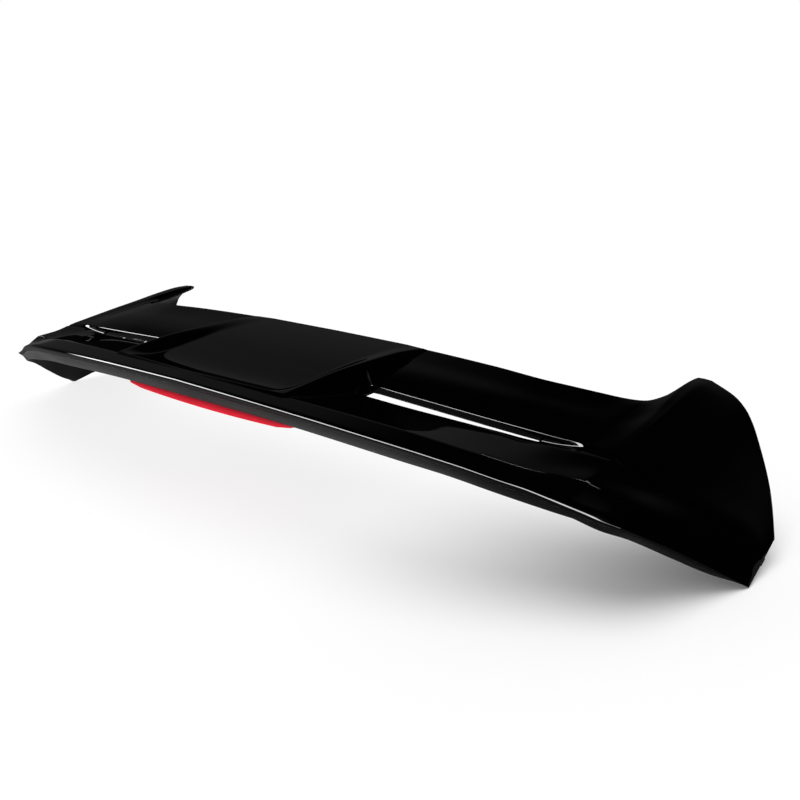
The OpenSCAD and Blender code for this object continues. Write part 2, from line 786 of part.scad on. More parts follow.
upper_shell();
lower_shell();
stud_front_left();
stud_front_right();
stud_rear_left();
stud_rear_right();
seal_front_left();
seal_front_right();
seal_rear_left();
seal_rear_right();
lamp_lens();
lamp_housing();
lamp_reflector();
lamp_board();
lamp_leds();
lamp_gasket();
lamp_socket();
lamp_pins();
lamp_screw_left();
lamp_screw_right();
tape_front();
tape_left();
tape_right();
clip_left();
clip_right();
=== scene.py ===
"""Slotted rear roof spoiler in gloss black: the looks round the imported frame.

Metres, +X to the right end, +Y towards the front of the car, +Z up.
The origin is the centre of the fixing studs.
"""

import json
import logging
import math
from dataclasses import dataclass, field
from enum import Enum

import bmesh
import bpy
import numpy as np
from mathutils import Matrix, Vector


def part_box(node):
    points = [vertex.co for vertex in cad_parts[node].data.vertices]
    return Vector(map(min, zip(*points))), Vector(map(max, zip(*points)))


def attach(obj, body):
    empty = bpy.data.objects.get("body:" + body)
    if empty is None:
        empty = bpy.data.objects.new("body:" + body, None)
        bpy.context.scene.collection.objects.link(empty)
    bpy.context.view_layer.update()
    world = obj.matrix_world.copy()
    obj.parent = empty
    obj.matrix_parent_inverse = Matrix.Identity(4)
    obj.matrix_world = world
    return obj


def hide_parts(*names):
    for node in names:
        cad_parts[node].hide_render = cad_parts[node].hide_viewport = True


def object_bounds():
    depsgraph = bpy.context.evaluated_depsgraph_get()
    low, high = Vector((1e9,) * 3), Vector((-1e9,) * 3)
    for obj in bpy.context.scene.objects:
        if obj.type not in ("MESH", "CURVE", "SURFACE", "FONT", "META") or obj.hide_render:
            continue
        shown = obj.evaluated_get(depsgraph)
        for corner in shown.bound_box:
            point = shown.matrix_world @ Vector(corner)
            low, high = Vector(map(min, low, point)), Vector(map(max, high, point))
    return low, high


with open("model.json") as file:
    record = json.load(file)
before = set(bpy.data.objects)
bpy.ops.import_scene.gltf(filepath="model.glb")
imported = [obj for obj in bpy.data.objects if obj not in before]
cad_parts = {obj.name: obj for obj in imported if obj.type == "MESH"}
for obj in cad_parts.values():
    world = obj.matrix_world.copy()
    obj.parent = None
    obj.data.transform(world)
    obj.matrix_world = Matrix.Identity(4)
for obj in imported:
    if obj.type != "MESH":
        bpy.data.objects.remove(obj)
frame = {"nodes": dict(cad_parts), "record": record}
CAD_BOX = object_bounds()
LOG = logging.getLogger("spoiler")

MM = 0.001
ORIGIN = np.array([0.0, -22.0, -CAD_BOX[0][2] / MM])

Row = tuple[float, ...]
Faces = list[tuple[int, ...]]
Solid = tuple[list[Row], Faces]


def box_mm(node: str) -> tuple[np.ndarray, np.ndarray]:
    """Lowest and highest corners of a CAD node, in millimetres."""
    low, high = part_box(node)
    return np.array(low) / MM, np.array(high) / MM


def foot(low: np.ndarray, high: np.ndarray) -> Row:
    """Middle of a box in plan, at the height of the origin."""
    return (low[0] + high[0]) / 2, (low[1] + high[1]) / 2, 0


def tube_faces(rings: int, n: int, start: int = 0) -> Faces:
    """Faces between closed rings of n points each, whose numbers begin at start."""
    return [
        tuple(start + j * n + m for j, m in ((i, k), (i, (k + 1) % n), (i + 1, (k + 1) % n), (i + 1, k)))
        for i in range(rings - 1) for k in range(n)
    ]


def closed_faces(rings: int, n: int) -> Faces:
    """The same faces with a flat one at each end."""
    return tube_faces(rings, n) + [tuple(range(n))[::-1], tuple((rings - 1) * n + k for k in range(n))]


def mix(a: np.ndarray, b: np.ndarray, t: np.ndarray) -> np.ndarray:
    """Blend from a to b by t."""
    return a + (b - a) * t


def ease(t: np.ndarray) -> np.ndarray:
    """Smooth step from 0 to 1."""
    c = np.clip(t, 0.0, 1.0)
    return c * c * (3.0 - 2.0 * c)


class Curve:
    """Smooth curve through the rows of a table, constant outside it."""

    def __init__(self, *rows: Row) -> None:
        """Fit the curve.

        Args:
            rows: Pairs or longer rows: the station, then what the curve gives there.
        """
        table = np.array(rows, dtype=float)
        self.x, self.y = table[:, 0], table[:, 1:]
        lo = np.maximum(np.arange(len(rows)) - 1, 0)
        hi = np.minimum(np.arange(len(rows)) + 1, len(rows) - 1)
        self.slope = (self.y[hi] - self.y[lo]) / (self.x[hi] - self.x[lo])[:, None]

    def __call__(self, at: np.ndarray) -> np.ndarray:
        """Values at the stations, with one more axis where the rows hold several."""
        at = np.clip(np.asarray(at, dtype=float), self.x[0], self.x[-1])
        i = np.clip(np.searchsorted(self.x, at, side="right") - 1, 0, len(self.x) - 2)
        h = self.x[i + 1] - self.x[i]
        q = ((at - self.x[i]) / h)[..., None]
        h = h[..., None]
        value = (
            (2 * q**3 - 3 * q**2 + 1) * self.y[i]
            + (q**3 - 2 * q**2 + q) * self.slope[i] * h
            + (3 * q**2 - 2 * q**3) * self.y[i + 1]
            + (q**3 - q**2) * self.slope[i + 1] * h
        )
        return value if self.y.shape[1] > 1 else value[..., 0]


@dataclass(frozen=True)
class Plan:
    """Distances in millimetres and shares of the chord that lay out the spoiler.

    A field that ends in run is the distance over which something fades in or out.
    """

    ridge_x: float = 152.0
    wall_x: float = 158.0
    slot_end_x: float = 388.0
    shoulder_x: float = 476.0
    edge_x: float = 600.0
    lip_h: float = 9.0
    plate_t: float = 10.0
    lip: float = 0.40
    under_lip: float = 0.46
    nose: float = 0.50
    nose_top: float = 0.56
    crease: float = 0.84
    end_rise: float = 3.0
    rise_from: float = 426.0
    rise_run: float = 50.0
    rise_grow: float = 0.26
    rise_fall: float = 0.16
    plate_rise: float = 0.35
    step_run: float = 60.0
    undercut: float = 3.0
    undercut_run: float = 14.0
    lip_bulge: float = 0.6
    shoulder_from: float = 400.0
    nose_r: float = 7.0
    nose_crown: float = 3.0
    blade_dip: float = 1.5
    tail_bend: float = 0.6
    tail_arc: float = 0.64
    tail_arc_h: float = 3.5
    soft_run: float = 0.3
    crest_r: float = 3.0
    under_t: float = 4.0


class Form:
    """The two outer surfaces of the spoiler as functions of the station and of the share along the chord."""

    def __init__(self, plan: Plan) -> None:
        """Set up the chord lines and edges.

        Args:
            plan: Layout of the spoiler.
        """
        self.plan = plan
        self.lip_y = Curve((0, -75), (158, -74), (390, -70), (444, -63), (476, -60))
        self.lip_z = Curve(
            (0, 150.2), (158, 149.3), (200, 147.4), (240, 145.6), (280, 143.7), (320, 141.8), (360, 140.0),
            (390, 138.7), (444, 135.4), (476, 133),
        )
        self.nose_y = Curve(
            (0, -96), (158, -95), (218, -93.3), (259, -90.3), (322, -83), (345, -79.4), (380, -74),
            (388, -73.5), (444, -70), (476, -70),
        )
        self.nose_z = Curve(
            (0, 141), (158, 140.4), (218, 138.1), (284, 134.8), (345, 131), (380, 128.4), (420, 130),
            (444, 131.6), (476, 131),
        )
        self.crease_y = Curve(
            (0, -214), (150, -208), (300, -193), (375, -170), (420, -147), (450, -132), (476, -127)
        )
        self.crease_z = Curve(
            (0, 168), (150, 165), (300, 156), (375, 142), (420, 129), (450, 123), (476, 120)
        )
        self.trail_y = Curve((0, -240), (150, -238), (300, -225), (375, -203), (455, -166.5), (476, -156.5))
        self.trail_z = Curve(
            (0, 163), (150, 160), (300, 150), (375, 137), (432, 121), (455, 112.8), (476, 104.5)
        )
        self.base_y = Curve(
            (0, -206), (150, -203), (300, -189), (353, -182), (405, -170), (455, -155), (476, -147)
        )
        self.base_z = Curve(
            (0, 132), (150, 130), (300, 119.5), (353, 115), (405, 105.8), (455, 96), (476, 91.5)
        )
        self.front = Curve(
            (0, 0, 38, 173), (150, 150, 35, 171.8), (265, 265, 31, 169.2), (330, 330, 26.5, 166.8),
            (371, 371, 34, 163), (400, 400, 44, 158.8), (420, 420, 54, 155), (436, 436, 65, 152.5),
            (444, 443, 78, 151.3), (453, 450, 104, 152.6), (461, 454, 131, 156), (468, 457, 156, 160),
            (472, 460, 167, 160.8), (476, 476, 165, 160.3),
        )
        self.middle_z = Curve(
            (-38, 173), (13, 173.2), (69, 171), (121, 166), (165, 162.2), (190, 163.2), (214, 168)
        )
        self.ridge_z = Curve(
            (-36, 172), (-10, 174.5), (13, 176), (69, 176.2), (121, 175.2), (170, 171.2), (210, 167),
            (240, 161),
        )
        self.panel_fall = Curve((0, 0), (0.31, 0.27), (0.61, 0.46), (0.83, 0.70), (1, 1))
        self.shoulder_fall = Curve(
            (0, 0), (0.12, 0), (0.3, 0.16), (0.49, 0.39), (0.67, 0.59), (0.84, 0.80), (1, 1)
        )
        self.plate_front = Curve(
            (0, 476, 165, 160.3), (0.15, 501, 173, 145), (0.27, 516, 172, 132.5), (0.36, 525, 171.5, 119.5),
            (0.48, 535, 167, 103), (0.66, 555, 150, 72), (0.8, 572, 126, 50), (1, 595, 79, 23),
        )
        self.plate_rear = Curve(
            (0, 476, -156.5, 104.5), (0.12, 502, -144.8, 96), (0.27, 527, -133, 88), (0.5, 553, -88, 60),
            (0.75, 577, -44, 30), (1, 600, 0, 0),
        )
        self.plate_inner_rear = Curve(
            (0, 476, -147, 91.5), (0.12, 499, -137, 82), (0.27, 518, -112, 69), (0.5, 546, -74, 44),
            (0.75, 570, -36, 20), (1, 592, 2, 1),
        )
        stops = np.array([0, 0.2, 0.4, 0.62, 0.84, 1])
        chord = self.low_side(np.full_like(stops, plan.shoulder_x), stops)
        self.soft_chord = Curve(*(tuple(row) for row in np.column_stack([stops, chord])))

    def step_left(self, u: np.ndarray) -> np.ndarray:
        """Share of the lip's step that is left beyond the end of the slot."""
        return 1.0 - ease((u - self.plan.slot_end_x) / self.plan.step_run)

    def lip_foot(self, u: np.ndarray) -> tuple[np.ndarray, np.ndarray]:
        """Place of the lip's lower edge as (y, z)."""
        p, k = self.plan, self.step_left(u)
        y, z = self.lip_y(u), self.lip_z(u)
        back = mix(-p.lip_bulge, p.undercut, self.past_wall(u)) * k
        foot_y = y + back - (1 - k) * (y - self.nose_y(u)) / 2
        return foot_y, z - p.lip_h * k - (z - self.nose_z(u)) * (1 - k) / 2

    def past_wall(self, u: np.ndarray) -> np.ndarray:
        """Share of the lip's undercut, which grows from the wall of the ridge outwards."""
        return ease((u - self.plan.wall_x) / self.plan.undercut_run)

    def rise_share(self, s: np.ndarray) -> np.ndarray:
        """Share of the end section's rise that a place on the chord line has."""
        p = self.plan
        return ease((s - p.nose_top) / p.rise_grow) * (1 - ease((s - p.crease) / p.rise_fall))

    def side(self, u: np.ndarray, s: np.ndarray) -> np.ndarray:
        """Points of the slotted sections and of the shoulder."""
        points = self.low_side(u, s)
        p = self.plan
        points[..., 2] += p.end_rise * ease((u - p.rise_from) / p.rise_run) * self.rise_share(s)
        return points

    def low_side(self, u: np.ndarray, s: np.ndarray) -> np.ndarray:
        """The same surface without the rise of the end section."""
        p = self.plan
        lead = self.front(u)
        lip_y, lip_z = self.lip_y(u), self.lip_z(u)
        foot_y, foot_z = self.lip_foot(u)
        nose_y, nose_z = self.nose_y(u), self.nose_z(u)
        crease_y, crease_z = self.crease_y(u), self.crease_z(u)
        left = self.step_left(u)

        q = np.clip(s / p.lip, 0, 1)
        fall = mix(self.panel_fall(q), self.shoulder_fall(q), ease((u - p.shoulder_from) / p.step_run))
        across = mix(lead[..., 0], u, ease(q * 1.3))
        panel = (across, mix(lead[..., 1], lip_y, q), mix(lead[..., 2], lip_z, fall))

        q = np.clip((s - p.lip) / (p.under_lip - p.lip), 0, 1)
        bulge = p.lip_bulge * np.sin(np.pi * q) * left * self.past_wall(u)
        lip = (u, mix(lip_y, foot_y, q) - bulge, mix(lip_z, foot_z, q**1.2))

        q = np.clip((s - p.under_lip) / (p.nose - p.under_lip), 0, 1)
        gap = (u, mix(foot_y, nose_y, q), mix(foot_z, nose_z, q))

        top_y = nose_y - p.nose_r
        top_z = nose_z + (crease_z - nose_z) * p.nose_r / (nose_y - crease_y) + p.nose_crown * left
        q = np.clip((s - p.nose) / (p.nose_top - p.nose), 0, 1)
        nose = (u, mix(nose_y, top_y, 1 - np.cos(q * np.pi / 2)), mix(nose_z, top_z, np.sin(q * np.pi / 2)))

        q = np.clip((s - p.nose_top) / (p.crease - p.nose_top), 0, 1)
        blade = (u, mix(top_y, crease_y, q), mix(top_z, crease_z, q) - p.blade_dip * np.sin(np.pi * q))

        q = np.clip((s - p.crease) / (1 - p.crease), 0, 1)
        flat = q < p.tail_bend
        t = np.clip((q - p.tail_bend) / 0.4, 0, 1)
        back = np.where(flat, q / 0.75, 0.8 * (1 - t) ** 2 + 2 * t * (1 - t) + t**2)
        trail_z = self.trail_z(u)
        arc = np.minimum(p.tail_arc, p.tail_arc_h / (crease_z - trail_z))
        left_z = np.where(flat, 1 - (1 - arc) * q / p.tail_bend, arc * ((1 - t) ** 2 + 1.72 * t * (1 - t)))
        tail = (u, mix(crease_y, self.trail_y(u), back), mix(trail_z, crease_z, left_z))

        bands = [s <= p.lip, s <= p.under_lip, s < p.nose, s <= p.nose_top, s <= p.crease]
        parts = [panel, lip, gap, nose, blade]
        return np.stack([np.select(bands, [part[k] for part in parts], tail[k]) for k in range(3)], axis=-1)

    def middle(self, u: np.ndarray, s: np.ndarray) -> np.ndarray:
        """Points between the ridges: a shallow trough that rises to each crest."""
        p = self.plan
        side = self.side(u, s)
        lead = self.front(u)[..., 1]
        even = mix(lead, self.crease_y(u), np.clip(s / p.crease, 0, 1))
        y = mix(even, side[..., 1], ease((u - p.ridge_x + 20) / 26))
        floor = self.middle_z(-y * 214 / -self.crease_y(u))
        crest = mix(floor, self.ridge_z(-y), ease((u - p.ridge_x + 32) / 29))
        rounding = p.crest_r * np.clip((u - p.ridge_x + p.crest_r) / p.crest_r, 0, 1) ** 2
        trough = np.stack([u, y, crest - rounding * np.clip((lead - y) / 30, 0, 1)], axis=-1)
        return np.where((s > p.crease)[..., None], side, trough)

    def inner(self, u: np.ndarray, s: np.ndarray) -> np.ndarray:
        """Points from the middle of the car out to the shoulder line."""
        p = self.plan
        t = ((u - p.ridge_x) / (p.wall_x - p.ridge_x))[..., None]
        crest, base = self.middle(np.full_like(u, p.ridge_x), s), self.side(np.full_like(u, p.wall_x), s)
        wall = mix(crest, base, np.clip(t, 0, 1))
        near = np.where((u <= p.ridge_x)[..., None], self.middle(np.minimum(u, p.ridge_x), s), wall)
        return np.where((u < p.wall_x)[..., None], near, self.side(u, s))

    def span(self, v: np.ndarray, s: np.ndarray) -> np.ndarray:
        """Cubic from the shoulder down to the lower edge of the end plate."""
        a = self.low_side(np.full_like(s, self.plan.shoulder_x), s)
        a = mix(a, self.soft_chord(s), ease(v / self.plan.soft_run)[..., None])
        b = mix(self.plate_front(1.0), self.plate_rear(1.0), s[..., None])
        reach = np.linalg.norm(b - a, axis=-1, keepdims=True)
        v, w = v[..., None], 1 - v[..., None]
        first = a + np.array([0.3, 0, -0.2]) * reach
        second = b + np.array([-0.1, 0, 0.33]) * reach
        return w**3 * a + 3 * w**2 * v * first + 3 * w * v**2 * second + v**3 * b

    def plate(self, v: np.ndarray, s: np.ndarray) -> np.ndarray:
        """Points of the end plate, fitted to its front and rear edges."""
        front = self.plate_front(v) - self.span(v, np.zeros_like(s))
        rear = self.plate_rear(v) - self.span(v, np.ones_like(s))
        rise = self.plan.end_rise * np.exp(-((v / self.plan.plate_rise) ** 2)) * self.rise_share(s)
        way = np.stack([0.2 * ease(v / 0.1), np.zeros_like(v), np.ones_like(v)], axis=-1)
        bent = (1 - s[..., None]) ** 2 * front + s[..., None] ** 3 * rear
        return self.span(v, s) + bent + rise[..., None] * way

    def share(self, u: np.ndarray) -> np.ndarray:
        """Share of the way from the shoulder to the lower edge of the end plate."""
        return np.clip((u - self.plan.shoulder_x) / (self.plan.edge_x - self.plan.shoulder_x), 0, 1)

    def upper(self, u: np.ndarray, s: np.ndarray) -> np.ndarray:
        """Points of the upper surface for stations to the right of the middle."""
        inside = self.inner(np.minimum(u, self.plan.shoulder_x), s)
        return np.where((u <= self.plan.shoulder_x)[..., None], inside, self.plate(self.share(u), s))

    def under(self, u: np.ndarray, s: np.ndarray) -> np.ndarray:
        """Points of the underside from the middle out to the shoulder line."""
        p = self.plan
        lead = self.front(u)
        roof_y, roof_z = self.lip_y(u) + 5, self.lip_z(u) - 2 - p.lip_h
        front_y, front_z = self.nose_y(u) - 1, self.nose_z(u) - p.under_t
        q = np.clip(s / p.under_lip, 0, 1)
        t = np.clip((s - p.nose) / (1 - p.nose), 0, 1)
        ahead = s <= p.under_lip
        gap = np.clip((s - p.under_lip) / (p.nose - p.under_lip), 0, 1)
        behind_y = np.where(s < p.nose, mix(roof_y, front_y, gap), mix(front_y, self.base_y(u), t))
        y = np.where(ahead, mix(lead[..., 1], roof_y, q), behind_y)
        rear_z = mix(front_z, self.base_z(u), 0.6 * ease(t * 1.6) + 0.4 * t)
        behind_z = np.where(s < p.nose, mix(roof_z, front_z, gap), rear_z)
        z = np.where(ahead, mix(lead[..., 2] - p.under_t, roof_z, q**0.8), behind_z)
        x = self.upper(u, s)[..., 0]
        return np.stack([x, y, z], axis=-1)

    def lower(self, u: np.ndarray, s: np.ndarray) -> np.ndarray:
        """Points of the lower surface for stations to the right of the middle."""
        p = self.plan
        inside = self.under(np.minimum(u, p.shoulder_x), s)
        v = self.share(u)
        k = ease(v * 2.2)[..., None]
        edge = np.full_like(s, p.shoulder_x)
        thick = np.array([-p.plate_t, 0, 0])
        shift = mix(self.under(edge, s) - self.upper(edge, s), thick, k)
        one = np.ones_like(s)
        rear_shift = mix(self.under(edge, one) - self.upper(edge, one), thick, k)
        rear = self.plate_inner_rear(v) - self.plate_rear(v) - rear_shift
        outside = self.plate(v, s) + shift + s[..., None] ** 4 * rear
        return np.where((u <= p.shoulder_x)[..., None], inside, outside)

    def placed(self, stations: np.ndarray, shares: np.ndarray, upper: bool) -> np.ndarray:
        """Grid of points in metres, in the part's frame.

        Args:
            stations: Signed stations across the car, in millimetres.
            shares: Shares along the chord.
            upper: True for the upper surface, False for the lower one.

        Returns:
            Array of shape (stations, shares, 3).
        """
        u, s = np.meshgrid(np.abs(stations), shares, indexing="ij")
        points = (self.upper if upper else self.lower)(u, s)
        points[..., 0] *= np.where(stations < 0, -1.0, 1.0)[:, None]
        return (points - ORIGIN) * MM


class Relief(Enum):
    """Texture that gives a finish its relief."""

    NOISE = "ShaderNodeTexNoise"
    CELLS = "ShaderNodeTexVoronoi"
    LINES = "ShaderNodeTexWave"

    @property
    def output(self) -> str:
        """Socket of the texture that holds the height."""
        return "Distance" if self is Relief.CELLS else "Fac"


def spaced(*stops: tuple[float, int]) -> np.ndarray:
    """Values from stop to stop; each stop says how many even steps lead up to it."""
    values = [stops[0][0]]
    for (start, _), (end, steps) in zip(stops, stops[1:]):
        values += [start + (end - start) * (k + 1) / steps for k in range(steps)]
    return np.array(values)


@dataclass(frozen=True)
class Finish:
    """A surface: colour, gloss and a fine relief, all in Object coordinates."""

    name: str
    colour: tuple[float, float, float]
    roughness: float
    metallic: float = 0.0
    specular: float = 0.5
    coat: float = 0.0
    coat_roughness: float = 0.03
    transmission: float = 0.0
    relief: Relief = Relief.NOISE
    relief_scale: float = 200.0
    relief_height: float = 0.02
    tint: float = 0.1

    def build(self) -> bpy.types.Material:
        """Node material with uneven gloss and colour and a fine relief."""
        material, shader = new_material(self.name)
        nodes, links = material.node_tree.nodes, material.node_tree.links
        shader.inputs["Metallic"].default_value = self.metallic
        shader.inputs["Specular IOR Level"].default_value = self.specular
        shader.inputs["Coat Weight"].default_value = self.coat
        shader.inputs["Coat Roughness"].default_value = self.coat_roughness
        shader.inputs["Transmission Weight"].default_value = self.transmission
        coords = nodes.new("ShaderNodeTexCoord")
        haze = nodes.new("ShaderNodeTexNoise")
        haze.inputs["Scale"].default_value = 9.0
        haze.inputs["Detail"].default_value = 3.0
        links.new(coords.outputs["Object"], haze.inputs["Vector"])
        gloss = nodes.new("ShaderNodeMapRange")
        gloss.inputs["To Min"].default_value = self.roughness * 0.8
        gloss.inputs["To Max"].default_value = min(self.roughness * 1.2, 1.0)
        links.new(haze.outputs["Fac"], gloss.inputs["Value"])
        links.new(gloss.outputs["Result"], shader.inputs["Roughness"])
        colour = nodes.new("ShaderNodeMix")
        colour.data_type = "RGBA"
        dark = tuple(c * (1 - self.tint) for c in self.colour)
        light = tuple(min(c * (1 + self.tint), 1.0) for c in self.colour)
        colour.inputs["A"].default_value = (*dark, 1)
        colour.inputs["B"].default_value = (*light, 1)
        links.new(haze.outputs["Fac"], colour.inputs["Factor"])
        links.new(colour.outputs["Result"], shader.inputs["Base Color"])
        bump = nodes.new("ShaderNodeBump")
        bump.inputs["Strength"].default_value = self.relief_height
        bump.inputs["Distance"].default_value = 0.0004
        grain = nodes.new(self.relief.value)
        grain.inputs["Scale"].default_value = self.relief_scale
        links.new(coords.outputs["Object"], grain.inputs["Vector"])
        links.new(grain.outputs[self.relief.output], bump.inputs["Height"])
        links.new(bump.outputs["Normal"], shader.inputs["Coat Normal" if self.coat else "Normal"])
        return material


FINISHES = (
    Finish("gloss_black", (0.0004, 0.0004, 0.0005), 0.16, specular=0.0, coat=0.08, coat_roughness=0.02,
           relief_scale=260.0),
    Finish("satin_black", (0.003, 0.003, 0.0034), 0.42, specular=0.02, relief_scale=900.0,
           relief_height=0.12),
    Finish("zinc_steel", (0.56, 0.57, 0.60), 0.28, metallic=1.0, relief_scale=700.0, relief_height=0.05),
    Finish("foam_rubber", (0.018, 0.018, 0.02), 0.92, specular=0.2, relief=Relief.CELLS, relief_scale=1400.0,
           relief_height=0.5),
    Finish("red_lens", (1.0, 0.032, 0.058), 0.3, specular=0.0, relief=Relief.LINES, relief_scale=420.0,
           relief_height=0.15),
    Finish("lamp_black", (0.012, 0.012, 0.013), 0.55, relief_scale=1200.0, relief_height=0.1),
    Finish("bright_reflector", (0.82, 0.83, 0.85), 0.09, metallic=1.0, relief_scale=90.0),
    Finish("board_green", (0.02, 0.12, 0.05), 0.35, relief_scale=500.0, relief_height=0.05),
    Finish("led_resin", (0.86, 0.72, 0.30), 0.2, transmission=0.25, relief_scale=300.0),
    Finish("brass_pins", (0.72, 0.52, 0.22), 0.25, metallic=1.0, relief_scale=600.0, relief_height=0.04),
    Finish("clip_natural", (0.72, 0.72, 0.67), 0.4, relief_scale=500.0, relief_height=0.08),
)


def new_material(name: str) -> tuple[bpy.types.Material, bpy.types.Node]:
    """Start a node material and give it back with its main shader."""
    material = bpy.data.materials.new(name)
    material.use_nodes = True
    return material, material.node_tree.nodes["Principled BSDF"]


def add_object(name: str, mesh: bpy.types.Mesh, material: bpy.types.Material) -> bpy.types.Object:
    """Link a mesh into the scene under a name, with its material and smooth faces."""
    obj = bpy.data.objects.new(name, mesh)
    bpy.context.collection.objects.link(obj)
    mesh.materials.append(material)
    mesh.polygons.foreach_set("use_smooth", [True] * len(mesh.polygons))
    return obj


def settle(obj: bpy.types.Object, slot: str, *nodes: str) -> None:
    """Let an object ride on the part and stand for the CAD nodes, whose meshes it hides."""
    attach(obj, "root")
    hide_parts(*nodes)


def bake_modifiers(obj: bpy.types.Object) -> None:
    """Turn an object's modifiers into its plain mesh."""
    graph = bpy.context.evaluated_depsgraph_get()
    baked = bpy.data.meshes.new_from_object(obj.evaluated_get(graph))
    obj.modifiers.clear()
    old = obj.data
    obj.data = baked
    bpy.data.meshes.remove(old)


